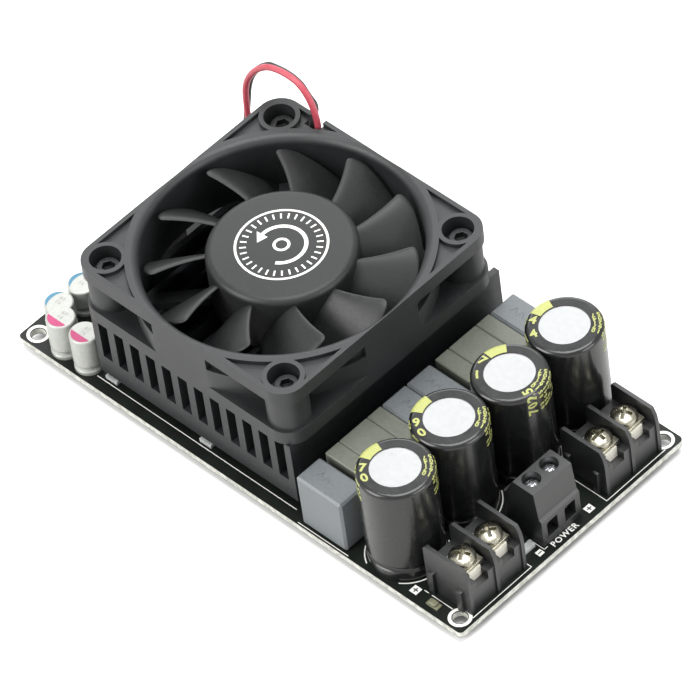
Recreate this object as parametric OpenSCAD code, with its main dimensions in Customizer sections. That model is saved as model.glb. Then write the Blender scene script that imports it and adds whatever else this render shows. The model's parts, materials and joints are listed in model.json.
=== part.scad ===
// Audio amplifier board: fan-cooled heatsink, output filter row, reservoir capacitors and screw terminals.
// Millimetres, +Z up. Origin: centre of the standoff holes on the board's underside.
// +X runs along the board towards its terminals.

/* [Circuit board] */
// Thickness of the board
board_t = 1.6; // [1:0.1:2.4]
// Radius of the board's corners
board_corner_r = 1; // [0.4:0.1:2]
// Width of the strip beside the heatsink that carries the input parts
input_strip = 21.6; // [21:0.1:30]
// Free margin between the terminals and the board's short edge
terminal_margin = 1.5; // [0.5:0.1:5]
// Free margin between the output row and the board's long edges
row_margin = 0.95; // [0.5:0.05:5]
// Distance from the board's edges to a standoff hole's centre
hole_inset = 3; // [2.6:0.1:3.4]
// Diameter of a standoff hole
standoff_hole_d = 3.2; // [2.4:0.1:3.4]
// Height of a solder joint under the board
solder_h = 1; // [0.6:0.1:1.5]

/* [Heat path] */
// Length of the amplifier chip along Y
chip_l = 15.9; // [10:0.1:20]
// Width of the amplifier chip along X
chip_w = 11; // [6:0.1:14]
// Height of the amplifier chip
chip_h = 2; // [1.2:0.1:3]
// Thickness of the thermal pad
pad_t = 0.2; // [0.1:0.05:1]
// Length of the fins along Y
heatsink_w = 60.5; // [56:0.5:62]
// Height of the heatsink
heatsink_h = 16.4; // [13:0.1:25]
// Thickness of the heatsink's base
heatsink_base_t = 5.2; // [4:0.1:6]
// Shift of the heatsink along Y from the board's middle
heatsink_y = 0.9; // [-1:0.1:1]
// Number of slots between the fins
slot_count = 12; // [8:1:13]
// Width of a slot
slot_w = 2.6; // [2:0.1:2.8]
// Thickness of the end fins
end_fin_t = 1.8; // [1.6:0.1:4]
// Chamfer at the fin tips
fin_chamfer = 0.4; // [0.1:0.05:0.6]
// Distance between the two screws that hold the heatsink, along X
heatsink_screw_spacing = 40; // [30:1:46]

/* [Fan] */
// Side of the square fan
fan_size = 60; // [60:0.5:62]
// Height of the fan
fan_t = 15; // [14:0.5:20]
// Distance between the fan's corner holes
fan_hole_spacing = 50; // [48:0.5:51]
// Play between the fan's holes and its screws that the fan is pushed to, along X
fan_shift = 0.6; // [0:0.1:0.6]
// Thickness of the two flanges
flange_t = 3.4; // [2.5:0.1:5]
// Radius of the bore round the blades
fan_bore_r = 28.8; // [28:0.1:29]
// Radius of the rounded lip at the air inlet
inlet_lip_r = 1.8; // [1:0.1:2.5]
// Outer radius of the barrel between the flanges
barrel_r = 30.9; // [30.2:0.05:31]
// Radius of the counterbore at a corner hole
counterbore_r = 3.3; // [3.1:0.1:3.6]
// Depth of the counterbore at a corner hole
counterbore_depth = 4.4; // [3:0.1:7]
// Radius of the impeller's hub
hub_r = 15.6; // [14.5:0.1:17]
// Number of blades
blade_count = 11; // [5:1:13]
// Running clearance between blade tips and bore
tip_clearance = 0.9; // [0.4:0.1:2]
// Radius of the shaft
shaft_r = 1.5; // [1:0.1:1.8]
// Radial running clearance of the shaft in its bearing
shaft_play = 0.04; // [0.02:0.01:0.08]

/* [Output row] */
// Gap between the heatsink and the output row
heatsink_gap = 2.9; // [1:0.1:6]
// Length of the row's parts along X
row_l = 12.4; // [11:0.1:15]
// Width of a film capacitor along Y
film_w = 7; // [5:0.1:9]
// Height of a film capacitor
film_h = 13.8; // [10:0.1:18]
// Width of an inductor along Y
inductor_w = 16; // [14:0.1:20]
// Height of an inductor
inductor_h = 13.6; // [12:0.1:18]
// Wide gap beside each inductor
row_gap = 1.4; // [0.5:0.1:4]
// Narrow seam between neighbours in the row
row_seam = 0.1; // [0.05:0.05:1]

/* [Capacitors] */
// Outer diameter of a reservoir capacitor
reservoir_d = 16; // [12.5:0.1:18]
// Height of a reservoir capacitor's can
reservoir_h = 25; // [20:0.5:35]
// Thickness of the shrink sleeve
sleeve_t = 0.15; // [0.1:0.05:0.3]
// Clearance between neighbouring reservoir capacitors
reservoir_clearance = 0.05; // [0.05:0.05:0.3]
// Gap between the output row and the reservoir capacitors
reservoir_gap = 1; // [0.9:0.1:4]
// Gap between the reservoir capacitors and the terminals
terminal_gap = 1.4; // [0.8:0.1:4]
// Diameter of a polymer capacitor
polymer_d = 6.3; // [5:0.1:6.5]
// Height of the two tall polymer capacitors
polymer_tall_h = 9.8; // [7:0.1:12]
// Height of the two short polymer capacitors
polymer_short_h = 7; // [5:0.1:9]

/* [Terminals] */
// Depth of a barrier terminal along X
terminal_depth = 12; // [11.5:0.1:14]
// Distance between the two poles of a barrier terminal
barrier_pitch = 7.5; // [7.2:0.1:7.7]
// Thickness of a barrier wall
barrier_wall = 0.9; // [0.6:0.1:1.1]
// Height of a barrier wall
barrier_h = 12.2; // [11:0.1:15]
// Height of the floor between the walls
barrier_floor_h = 7.6; // [6.5:0.1:8.5]
// Distance of a barrier terminal's middle from the board's middle
barrier_y = 19.7; // [17:0.1:19.8]
// Distance between the two poles of the power terminal
power_pitch = 5.08; // [5:0.01:5.5]
// Height of the power terminal
power_h = 14.8; // [14.5:0.1:17]
// Distance of the power terminal's middle from the board's middle
power_y = -0.5; // [-1.2:0.1:1.2]
// Travel of a power clamp
clamp_travel = 3; // [1:0.1:3.1]

/* [Fan lead] */
// Diameter of a wire
wire_d = 1.4; // [1:0.1:1.4]

/* [Hidden] */
$fn = 64;
eps = 0.01;
lead_play = 0.1;
screw_play = 0.05;

// Layout along X, from the input end to the terminals
slot_pitch = fan_hole_spacing / (slot_count - 1);
heatsink_l = fan_hole_spacing + slot_w + 2 * end_fin_t;
board_l = input_strip + heatsink_l + heatsink_gap + row_l + reservoir_gap + reservoir_d
    + terminal_gap + terminal_depth + terminal_margin;
board_x0 = -board_l / 2;
heatsink_x0 = board_x0 + input_strip;
heatsink_x = heatsink_x0 + heatsink_l / 2;
row_x = heatsink_x0 + heatsink_l + heatsink_gap + row_l / 2;
reservoir_x = row_x + row_l / 2 + reservoir_gap + reservoir_d / 2;
terminal_x0 = reservoir_x + reservoir_d / 2 + terminal_gap;

// Layout along Y
row_w = 4 * film_w + 2 * inductor_w + 2 * row_gap + 3 * row_seam;
reservoir_pitch = reservoir_d + reservoir_clearance;
board_w = max(row_w + 2 * row_margin, 4 * reservoir_d + 3 * reservoir_clearance);
board_y0 = -board_w / 2;
row_y0 = -row_w / 2;
inductor_1_y0 = row_y0 + film_w + row_gap;
film_2_y0 = inductor_1_y0 + inductor_w + row_seam;
film_3_y0 = film_2_y0 + film_w + row_seam;
inductor_2_y0 = film_3_y0 + film_w + row_gap;
film_4_y0 = inductor_2_y0 + inductor_w + row_seam;
film_y0 = [row_y0, film_2_y0, film_3_y0, film_4_y0];
inductor_y0 = [inductor_1_y0, inductor_2_y0];

// Layout along Z
heatsink_z = board_t + chip_h + pad_t;
fan_z = heatsink_z + heatsink_h;
fan_x = heatsink_x - fan_shift;

// Standoff and heatsink screws
standoff_at = [for (sx = [-1, 1], sy = [-1, 1])
    [sx * (board_l / 2 - hole_inset), sy * (board_w / 2 - hole_inset)]];
heatsink_screw_r = 1.45;
heatsink_screw_head_r = 2.8;
heatsink_screw_head_h = 1.8;
heatsink_screw_bite = 3.5;
heatsink_screw_at = [for (s = [-1, 1]) [heatsink_x + s * heatsink_screw_spacing / 2, heatsink_y]];

// Fan details
fan_corner_r = (fan_size - fan_hole_spacing) / 2;
fan_corner_at = [for (sx = [-1, 1], sy = [-1, 1]) [sx * fan_hole_spacing / 2, sy * fan_hole_spacing / 2]];
post_r = 4.4;
fan_hole_r = 2.15;
fan_screw_r = 1.45;
fan_screw_head_r = 2.4;
fan_screw_head_h = 2.4;
fan_screw_bite = 8;
fan_socket_w = 2.5;
flange_rib = 1;
pocket_depth = 1;
barrel_groove_r = 29.75;
barrel_groove_h = 3;
barrel_panel_w = 15;
cable_slot_x = -18.35;
cable_slot_w = 3.6;
cable_slot_depth = 2.8;
spider_t = 2;
strut_w = 3;
strut_sink = 0.8;
motor_boss_r = 4;
motor_boss_h = 9.8;
bearing_r = 3;
bearing_z = 0.8;
motor_gap = 0.6;
hub_wall = 1.4;
hub_drop = 0.4;
hub_rim_r = 1.6;
hub_top = fan_t - hub_drop;
hub_bottom = spider_t + motor_gap;
hub_boss_h = 3;
magnet_t = 1.9;
air_gap = 0.5;
magnet_r = hub_r - hub_wall;
stator_r = magnet_r - magnet_t - air_gap;

// Blade shape: the edge that leads the turn is high and swept forward, the trailing edge is low and steeper
blade_root_r = hub_r - hub_wall / 2;
blade_tip_r = fan_bore_r - tip_clearance;
blade_root_top = hub_top - hub_rim_r - 0.15;
blade_tip_top = hub_top - 0.4;
blade_bottom = hub_bottom + 0.7;
blade_phase = 127.5;
blade_sweep = 11;
blade_span = 29;
blade_thick = 1.1;
blade_camber = 1.25;
blade_corner = 0.22;
blade_corner_from = 0.8;
blade_lean = 0.72;
blade_stations = [0, 0.3, 0.58, 0.8, 0.93, 1];
blade_steps = 6;

// Leads: [x, y, radius]
film_lead_pitch = 10;
film_leads = [for (y0 = film_y0, s = [-1, 1]) [row_x + s * film_lead_pitch / 2, y0 + film_w / 2, 0.4]];
core_w = inductor_w / 4;
coil_y = [for (y0 = inductor_y0, k = [1, 3]) y0 + k * core_w];
coil_r = 4.6;
coil_wire = 1.6;
coil_h = core_w;
coil_play = 0.1;
core_seam = 0.04;
coil_lead_slot = 1.5;
coil_lead_pitch = 7;
coil_leads = [for (y = coil_y, s = [-1, 1]) [row_x + s * coil_lead_pitch / 2, y, 0.6]];
reservoir_stagger = [0, -0.7, 0.6, 0.5];
reservoir_y4 = board_w / 2 - reservoir_d / 2;
reservoir_at = [for (k = [0:3]) [reservoir_x + reservoir_stagger[k], reservoir_y4 + (k - 3) * reservoir_pitch]];
reservoir_lead_pitch = 7.5;
reservoir_leads = [for (p = reservoir_at, s = [-1, 1]) [p[0], p[1] + s * reservoir_lead_pitch / 2, 0.4]];
polymer_edge = 0.65;
polymer_gap = 0.5;
polymer_heatsink_gap = 1.15;
polymer_turn = 142;
polymer_step = polymer_d + polymer_gap;
tall_at = [heatsink_x0 - polymer_heatsink_gap - polymer_d / 2, board_y0 + polymer_edge + polymer_d / 2];
corner_at = tall_at - [polymer_step, 0];
short_at = corner_at + polymer_step * [cos(polymer_turn), sin(polymer_turn)];
polymer_at = [corner_at, tall_at, short_at, short_at + [0, polymer_step]];
polymer_h = [polymer_tall_h, polymer_tall_h, polymer_short_h, polymer_short_h];
polymer_lead_pitch = 2.5;
polymer_leads = [for (p = polymer_at, s = [-1, 1]) [p[0], p[1] + s * polymer_lead_pitch / 2, 0.3]];

// Barrier terminals
barrier_w = 2 * barrier_pitch + barrier_wall;
barrier_mid = [-barrier_y, barrier_y];
barrier_front_inset = 0.4;
barrier_rib = 0.7;
barrier_rib_w = 1.4;
barrier_rib_h = 5.8;
barrier_floor_z = board_t + barrier_floor_h;
barrier_screw_back = 6.6;
barrier_screw_x = terminal_x0 + barrier_screw_back;
pole_at = [for (m = barrier_mid, s = [-1, 1]) [barrier_screw_x, m + s * barrier_pitch / 2]];
plate_t = 0.8;
plate_back = 3.4;
plate_front = 3.2;
plate_w = 5.4;
tongue_w = 3.2;
tongue_h = 2;
contact_pin_r = 0.7;
contact_pin_back = 2.6;
contact_pin_x = barrier_screw_x - contact_pin_back;
speaker_leads = [for (p = pole_at) [contact_pin_x, p[1], contact_pin_r]];
washer_w = 5.8;
washer_t = 0.8;
screw_r = 1.6;
screw_l = 6.5;
screw_head_r = 2.8;
screw_head_h = 2.1;
washer_z = barrier_floor_z + plate_t;

// Power terminal
power_depth = 10;
power_setback = 0.8;
power_side = 0.4;
power_screw_back = 4.6;
power_ledge_h = 7.2;
power_ledge = 0.6;
power_front_lean = 0.8;
power_shoulder_h = 10.2;
power_shoulder = 2.4;
power_x1 = terminal_x0 + terminal_depth - power_setback;
power_x0 = power_x1 - power_depth;
power_w = 2 * (power_pitch + power_side);
power_screw_x = power_x1 - power_screw_back;
power_pole_y = [power_y - power_pitch / 2, power_y + power_pitch / 2];
cage_l = 4.2;
cage_w = 4.2;
cage_wall = 0.7;
cage_bar = 1.1;
cage_play = 0.15;
cage_lift = 0.8;
cage_z = board_t + cage_lift;
entry_w = 3;
entry_z = cage_z + cage_bar;
entry_h = 4.2;
cage_h = 2 * cage_bar + entry_h;
clip_t = 0.7;
clip_w = 2.4;
clip_z = cage_z + cage_h - cage_bar - clip_t - cage_play;
cavity_top = cage_z + cage_h + clamp_travel + 0.1;
clamp_screw_r = 1.2;
clamp_head_r = 1.85;
clamp_head_h = 1.7;
clamp_seat_t = 1.4;
clamp_head_z = cavity_top + clamp_seat_t;
power_pin_r = 0.5;
power_pin_x = power_screw_x - cage_l / 2 - cage_play - 0.75;
power_leads = [for (y = power_pole_y) [power_pin_x, y, power_pin_r]];

// Headers on the input strip
fan_plug_at = [heatsink_x0 - 10.95, board_w / 2 - 6.5];
fan_pin_pitch = 2.5;
fan_header_size = [6.2, 4.6, 3];
fan_plug_size = [6.2, 4.6, 7.4];
header_pin_r = 0.32;
fan_pins = [for (s = [-1, 1]) [fan_plug_at[0] + s * fan_pin_pitch / 2, fan_plug_at[1], header_pin_r]];
fan_pin_top = board_t + fan_header_size[2] + 5;
audio_at = [board_x0 + 5.2, 4];
audio_size = [5.8, 9.8, 7];
audio_wall = 0.8;
audio_floor = 2;
audio_pins = [for (k = [-1:1]) [audio_at[0], audio_at[1] + k * 2.5, header_pin_r]];

all_leads = concat(film_leads, coil_leads, reservoir_leads, polymer_leads, speaker_leads, power_leads,
    fan_pins, audio_pins);

// Routes of the two wires: the rise from the fan's lower flange, then the fall to the plug
slot_at = [fan_x + cable_slot_x, fan_size / 2, fan_z];
plug_at = [fan_plug_at[0], fan_plug_at[1], board_t];
red_rise = [[0.85, -1.8, 3.4], [0.85, -1.8, 9.8], [0.85, -1.6, 15.8], [-1.05, -1.2, 20.3], [-3.95, -1, 22.8],
    [-7.35, -1, 23.3], [-10.65, -1.2, 23]];
red_fall = [[6.85, 2.6, 40.5], [4.15, 2.3, 38.1], [1.95, 2, 34.8], [0.95, 1.6, 31.4], [0.95, 1.2, 27.6],
    [1.25, 0.6, 20.4], [1.25, 0.1, 14.4], [1.25, 0, 10.4]];
black_rise = [[-0.85, -1.9, 3.4], [-0.85, -1.8, 9.8], [-0.85, -1.1, 13.8], [-1.2, 0.2, 16.8], [-2.65, 0.1, 19.1],
    [-4.85, 0.1, 21.5], [-8.25, 0.2, 22], [-11.45, 0.1, 21.8]];
black_fall = [[6.15, 4.1, 39.5], [3.55, 3.8, 37.2], [1.35, 3.5, 33.9], [0.25, 3.1, 30.5], [-0.15, 2.6, 26.7],
    [-0.75, 1.5, 19.4], [-1.25, 0.3, 14.4], [-1.25, 0, 10.4]];
red_route = concat([for (p = red_rise) slot_at + p], [for (p = red_fall) plug_at + p]);
black_route = concat([for (p = black_rise) slot_at + p], [for (p = black_fall) plug_at + p]);
wire_sides = 8;
wire_steps = 2;

// Shared shapes

// Rectangle with round corners, centred
module round_rect(l, w, r) {
    square([l - 2 * r, w], center = true);
    square([l, w - 2 * r], center = true);
    for (sx = [-1, 1], sy = [-1, 1])
        translate([sx * (l / 2 - r), sy * (w / 2 - r)]) circle(r);
}

// Rectangle with cut corners, from the origin
module cut_rect(l, w, c) {
    polygon([[c, 0], [l - c, 0], [l, c], [l, w - c], [l - c, w], [c, w], [0, w - c], [0, c]]);
}

// Box with chamfered edges, from the origin
module chamfer_box(l, w, h, c) {
    intersection() {
        linear_extrude(h) cut_rect(l, w, c);
        translate([0, w, 0]) rotate([90, 0, 0]) linear_extrude(w) cut_rect(l, h, c);
        translate([0, 0, h]) rotate([0, 90, 0]) linear_extrude(l) cut_rect(h, w, c);
    }
}

// Half profile of a can with a round top edge and a rolled groove, grown by t
module can_profile(r, h, edge_r, groove_z, groove_depth, t) {
    groove_r = 1.2;
    difference() {
        union() {
            square([r + t - edge_r, h + t]);
            square([r + t, h + t - edge_r]);
            translate([r + t - edge_r, h + t - edge_r]) circle(edge_r);
        }
        translate([-2 * edge_r, -edge_r]) square([2 * edge_r, h + 4 * edge_r]);
        translate([r + groove_r - groove_depth, groove_z]) circle(groove_r - t);
    }
}

// Straight leads from under the board up to height top
module leads(points, top) {
    for (p = points)
        translate([p[0], p[1], -solder_h]) cylinder(r = p[2], h = top + solder_h);
}

// Screw with a domed head; z = 0 is the head's underside
module pan_screw(head_r, head_h, shank_r, shank_l) {
    dome_h = 0.45 * head_h;
    dome_r = (head_r * head_r + dome_h * dome_h) / (2 * dome_h);
    recess_w = 0.28 * head_r;
    recess_depth = 0.6 * head_h;
    difference() {
        union() {
            rotate_extrude() intersection() {
                square([head_r, head_h]);
                translate([0, head_h - dome_r]) circle(dome_r);
            }
            translate([0, 0, -shank_l]) cylinder(r = shank_r, h = shank_l + eps);
        }
        for (a = [0, 90])
            rotate(a) translate([-0.62 * head_r, -recess_w / 2, head_h - recess_depth])
                cube([1.24 * head_r, recess_w, head_h]);
    }
}

// Screw with a cylindrical head and a hexagon socket; z = 0 is the head's underside
module socket_screw(head_r, head_h, socket_w, shank_r, shank_l) {
    socket_depth = 0.6 * head_h;
    difference() {
        union() {
            cylinder(r = head_r, h = head_h);
            translate([0, 0, -shank_l]) cylinder(r = shank_r, h = shank_l + eps);
        }
        translate([0, 0, head_h - socket_depth]) linear_extrude(head_h)
            polygon([for (a = [0:60:300]) socket_w / sqrt(3) * [cos(a), sin(a)]]);
    }
}

// Points on a smooth curve through a route
function curve_point(a, b, c, d, t) = 0.5 * (2 * b + (c - a) * t + (2 * a - 5 * b + 4 * c - d) * t * t
    + (3 * b - a - 3 * c + d) * t * t * t);
function curve(route, n) = [for (i = [0:len(route) - 2], k = [0:n - 1])
    curve_point(route[max(i - 1, 0)], route[i], route[i + 1], route[min(i + 2, len(route) - 1)], k / n),
    route[len(route) - 1]];
function unit(v) = v / norm(v);

// Round wire along a route
module wire(route, d) {
    path = curve(route, wire_steps);
    last = len(path) - 1;
    ring = function (i)
        let (along = i == 0 || i == last ? [0, 0, i == 0 ? 1 : -1] : unit(path[i + 1] - path[i - 1]),
             side = unit(cross([0, 1, 0], along)), up = cross(along, side))
        [for (j = [0:wire_sides - 1]) let (a = 360 * j / wire_sides)
            path[i] + d / 2 * (cos(a) * side + sin(a) * up)];
    points = [for (i = [0:last]) each ring(i)];
    walls = [for (i = [0:last - 1], j = [0:wire_sides - 1]) let (k = (j + 1) % wire_sides)
        [i * wire_sides + j, (i + 1) * wire_sides + j, (i + 1) * wire_sides + k, i * wire_sides + k]];
    polyhedron(points, concat(walls, [[for (j = [0:wire_sides - 1]) j],
        [for (j = [wire_sides - 1:-1:0]) last * wire_sides + j]]), convexity = 6);
}

// Board

module circuit_board() {
    color("#101510") linear_extrude(board_t) difference() {
        round_rect(board_l, board_w, board_corner_r);
        for (p = standoff_at) translate(p) circle(d = standoff_hole_d);
        for (p = heatsink_screw_at) translate(p) circle(heatsink_screw_r + lead_play);
        for (p = all_leads) translate([p[0], p[1]]) circle(p[2] + lead_play);
    }
}

module solder_joints() {
    color("#b9bcc0") for (p = all_leads)
        translate([p[0], p[1], -solder_h]) rotate_extrude()
            polygon([[p[2], 0], [p[2] + 0.12, 0], [p[2] + 0.6, 0.75 * solder_h], [p[2] + 0.7, solder_h],
                [p[2], solder_h]]);
}

// Chip resistor or capacitor with metal ends, along X
module chip_part(size) {
    end = 0.17 * size[0];
    skin = 0.03;
    translate([-size[0] / 2, -size[1] / 2, 0]) cube(size);
    for (s = [-1, 1]) translate([s * (size[0] - end) / 2 - end / 2 - skin, -size[1] / 2 - skin, 0])
        cube([end + 2 * skin, size[1] + 2 * skin, size[2] + skin]);
}

module chip_parts() {
    large = [3.2, 1.6, 0.9];
    small = [2, 1.25, 0.8];
    front_y = heatsink_y - heatsink_w / 2 + 0.9;
    color("#cfd4da") {
        for (x = [2.6, 29.6]) translate([heatsink_x0 + x, front_y, board_t]) chip_part(large);
        translate([power_x1 - 2.4, power_y - power_w / 2 - 2.5, board_t]) rotate(90) chip_part(large);
        for (s = [-1, 1], k = [-2:2])
            translate([heatsink_x + s * (chip_w / 2 + 4.5), heatsink_y + 4 * k, board_t]) chip_part(small);
    }
}

module power_led() {
    color("#8f9270") translate([terminal_x0 + 4.4, board_y0 + 2, board_t]) {
        translate([-1.5, -0.8, 0]) cube([3, 1.6, 0.5]);
        translate([-0.9, -0.7, 0.5]) chamfer_box(1.8, 1.4, 0.6, 0.15);
    }
}

// Heat path

module amplifier_chip() {
    pin_count = 18;
    pin_pitch = 0.8;
    pin_reach = 1.5;
    color("#1c1c1e") translate([heatsink_x, heatsink_y, board_t]) {
        translate([-chip_w / 2, -chip_l / 2, 0.1]) cube([chip_w, chip_l, chip_h - 0.1]);
        for (s = [-1, 1], k = [0:pin_count - 1])
            translate([s * (chip_w / 2 + pin_reach / 2 - 0.1) - pin_reach / 2 - 0.1,
                (k - (pin_count - 1) / 2) * pin_pitch - 0.18, 0])
                cube([pin_reach + 0.2, 0.36, 0.3]);
    }
}

module thermal_pad() {
    color("#7d8a94") translate([heatsink_x - chip_w / 2, heatsink_y - chip_l / 2, board_t + chip_h])
        cube([chip_w, chip_l, pad_t]);
}

module heatsink() {
    slot_h = heatsink_h - heatsink_base_t;
    color("#202123") difference() {
        translate([heatsink_x0, heatsink_y + heatsink_w / 2, heatsink_z]) rotate([90, 0, 0])
            linear_extrude(heatsink_w) difference() {
                square([heatsink_l, heatsink_h]);
                for (k = [0:slot_count - 1]) translate([end_fin_t + k * slot_pitch, heatsink_base_t])
                    polygon([[0, 0], [slot_w, 0], [slot_w, slot_h - 2 * fin_chamfer],
                        [slot_w + fin_chamfer, slot_h + eps], [-fin_chamfer, slot_h + eps],
                        [0, slot_h - 2 * fin_chamfer]]);
            }
        for (p = fan_corner_at) translate([heatsink_x + p[0], p[1], fan_z - fan_screw_bite])
            cylinder(r = fan_screw_r + screw_play, h = fan_screw_bite + 1);
        for (p = heatsink_screw_at) translate([p[0], p[1], heatsink_z - 1])
            cylinder(r = heatsink_screw_r + screw_play, h = heatsink_screw_bite + 1.2);
    }
}

module heatsink_screws() {
    color("#b4b6ba") for (p = heatsink_screw_at) translate([p[0], p[1], 0]) rotate([180, 0, 0])
        pan_screw(heatsink_screw_head_r, heatsink_screw_head_h, heatsink_screw_r, heatsink_z + heatsink_screw_bite);
}

// Fan

module at_fan() {
    translate([fan_x, 0, fan_z]) children();
}

// Shallow pockets beside the corner holes, between the outer rib, the inlet lip and the hole's collar
module flange_pockets() {
    inner = fan_size - 2 * flange_rib;
    translate([0, 0, fan_t - pocket_depth]) linear_extrude(pocket_depth + 1) difference() {
        union() {
            square([fan_hole_spacing, inner], center = true);
            square([inner, fan_hole_spacing], center = true);
        }
        circle(fan_bore_r + inlet_lip_r + flange_rib);
        for (p = fan_corner_at) translate(p) circle(counterbore_r + flange_rib);
    }
}

// Barrel with flat middle panels and a groove under the upper flange between them
module fan_barrel() {
    difference() {
        linear_extrude(fan_t) intersection() {
            circle(barrel_r);
            square(fan_size, center = true);
        }
        translate([0, 0, fan_t - flange_t - barrel_groove_h]) linear_extrude(barrel_groove_h) difference() {
            circle(barrel_r + 1);
            circle(barrel_groove_r);
            for (a = [0, 90]) rotate(a) square([3 * barrel_r, barrel_panel_w], center = true);
        }
    }
}

module fan_housing() {
    color("#2a2b2d") at_fan() {
        difference() {
            union() {
                for (z = [0, fan_t - flange_t]) translate([0, 0, z])
                    linear_extrude(flange_t) round_rect(fan_size, fan_size, fan_corner_r);
                fan_barrel();
                for (p = fan_corner_at) translate(p) cylinder(r = post_r, h = fan_t);
            }
            translate([0, 0, -1]) cylinder(r = fan_bore_r, h = fan_t + 2);
            translate([0, 0, fan_t - inlet_lip_r]) rotate_extrude() difference() {
                translate([fan_bore_r - 1, 0]) square([inlet_lip_r + 1, inlet_lip_r + 1]);
                translate([fan_bore_r + inlet_lip_r, 0]) circle(inlet_lip_r);
            }
            for (p = fan_corner_at) translate(p) {
                translate([0, 0, -1]) cylinder(r = fan_hole_r, h = fan_t + 2);
                translate([0, 0, fan_t - counterbore_depth]) cylinder(r = counterbore_r, h = fan_t);
            }
            flange_pockets();
            translate([cable_slot_x - cable_slot_w / 2, fan_size / 2 - cable_slot_depth, fan_t - flange_t - 1])
                cube([cable_slot_w, cable_slot_depth + 1, flange_t + 2]);
        }
        difference() {
            union() {
                cylinder(r = hub_r - 0.4, h = spider_t);
                cylinder(r = motor_boss_r, h = motor_boss_h);
                for (a = [45:90:315]) rotate(a)
                    translate([motor_boss_r, -strut_w / 2, 0])
                        cube([fan_bore_r - motor_boss_r + strut_sink, strut_w, spider_t]);
            }
            translate([0, 0, bearing_z]) cylinder(r = bearing_r, h = fan_t);
        }
    }
}

module fan_bearing() {
    color("#b08d57") at_fan() translate([0, 0, bearing_z]) difference() {
        cylinder(r = bearing_r, h = motor_boss_h - bearing_z);
        translate([0, 0, 0.4]) cylinder(r = shaft_r + shaft_play, h = fan_t);
    }
}

module fan_stator() {
    core_z = spider_t + 2.4;
    core_h = motor_boss_h - core_z - 0.4;
    inner_r = motor_boss_r + screw_play;
    color("#8a6a3a") at_fan() difference() {
        union() {
            translate([0, 0, spider_t]) cylinder(r = stator_r - 0.3, h = 1);
            translate([0, 0, spider_t]) cylinder(r = inner_r + 2.5, h = core_z - spider_t + core_h);
            translate([0, 0, core_z]) linear_extrude(core_h) {
                for (a = [0, 90]) rotate(a) square([2 * stator_r - 2, 3], center = true);
                intersection() {
                    difference() {
                        circle(stator_r);
                        circle(stator_r - 1.6);
                    }
                    for (a = [0, 90]) rotate(a) square([2 * stator_r, 0.85 * stator_r], center = true);
                }
            }
            translate([0, 0, core_z - 0.7]) linear_extrude(core_h + 1.1) for (a = [0, 90]) rotate(a)
                square([2 * stator_r - 3.8, 5.4], center = true);
        }
        translate([0, 0, -1]) cylinder(r = inner_r, h = fan_t);
    }
}

module fan_shaft() {
    foot = bearing_z + 0.45;
    color("#c8cacc") at_fan() translate([0, 0, foot]) cylinder(r = shaft_r, h = hub_top - hub_wall - foot);
}

module fan_magnet() {
    color("#3a3a3c") at_fan() translate([0, 0, hub_bottom + 0.3]) difference() {
        cylinder(r = magnet_r, h = motor_boss_h - hub_bottom);
        translate([0, 0, -1]) cylinder(r = magnet_r - magnet_t, h = fan_t);
    }
}

// One blade: cross-sections at growing radius, each a curved strip from the leading to the trailing edge
function blade_cut(u) = blade_corner * pow(max(u - blade_corner_from, 0) / (1 - blade_corner_from), 3);
function blade_height(u, s) = let (top = blade_root_top + (blade_tip_top - blade_root_top) * u)
    top - (top - blade_bottom) * pow(s, blade_camber);
function blade_point(u, s, side) =
    let (r = blade_root_r + (blade_tip_r - blade_root_r) * u,
         half = side * blade_thick / 2 * sqrt(max(1 - pow(2 * s - 1, 4), 0.02)),
         along = blade_cut(u) + (1 - blade_cut(u)) * s, z = blade_height(u, along),
         turned = blade_phase + blade_sweep * u - blade_span * along - half * blade_lean * 180 / PI / r)
    [r * cos(turned), r * sin(turned), z + half * sqrt(1 - blade_lean * blade_lean)];
module blade() {
    strip = concat([for (k = [0:blade_steps]) [k / blade_steps, 1]],
        [for (k = [blade_steps:-1:0]) [k / blade_steps, -1]]);
    n = len(strip);
    last = len(blade_stations) - 1;
    points = [for (u = blade_stations, p = strip) blade_point(u, p[0], p[1])];
    walls = [for (i = [0:last - 1], j = [0:n - 1]) let (k = (j + 1) % n)
        each [[i * n + j, (i + 1) * n + j, i * n + k], [i * n + k, (i + 1) * n + j, (i + 1) * n + k]]];
    polyhedron(points, concat(walls, [[for (j = [0:n - 1]) j], [for (j = [n - 1:-1:0]) last * n + j]]),
        convexity = 4);
}

module fan_impeller() {
    inside_top = hub_top - hub_wall;
    color("#333436") at_fan() {
        difference() {
            rotate_extrude() difference() {
                union() {
                    translate([0, hub_bottom]) square([hub_r, hub_top - hub_rim_r - hub_bottom]);
                    translate([0, hub_bottom]) square([hub_r - hub_rim_r, hub_top - hub_bottom]);
                    translate([hub_r - hub_rim_r, hub_top - hub_rim_r]) circle(hub_rim_r);
                }
                translate([bearing_r, hub_bottom - 1]) square([magnet_r - bearing_r, inside_top - hub_bottom + 1]);
                translate([-1, hub_bottom - 1]) square([bearing_r + 2, inside_top - hub_boss_h - hub_bottom + 1]);
            }
            translate([0, 0, hub_bottom]) cylinder(r = shaft_r, h = inside_top - hub_bottom);
        }
        for (k = [0:blade_count - 1]) rotate(k * 360 / blade_count) blade();
    }
}

module fan_screws() {
    seat = fan_z + fan_t - counterbore_depth;
    color("#4a4b4d") for (p = fan_corner_at) translate([heatsink_x + p[0], p[1], seat])
        socket_screw(fan_screw_head_r, fan_screw_head_h, fan_socket_w, fan_screw_r,
            fan_t - counterbore_depth + fan_screw_bite - 0.5);
}

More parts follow.
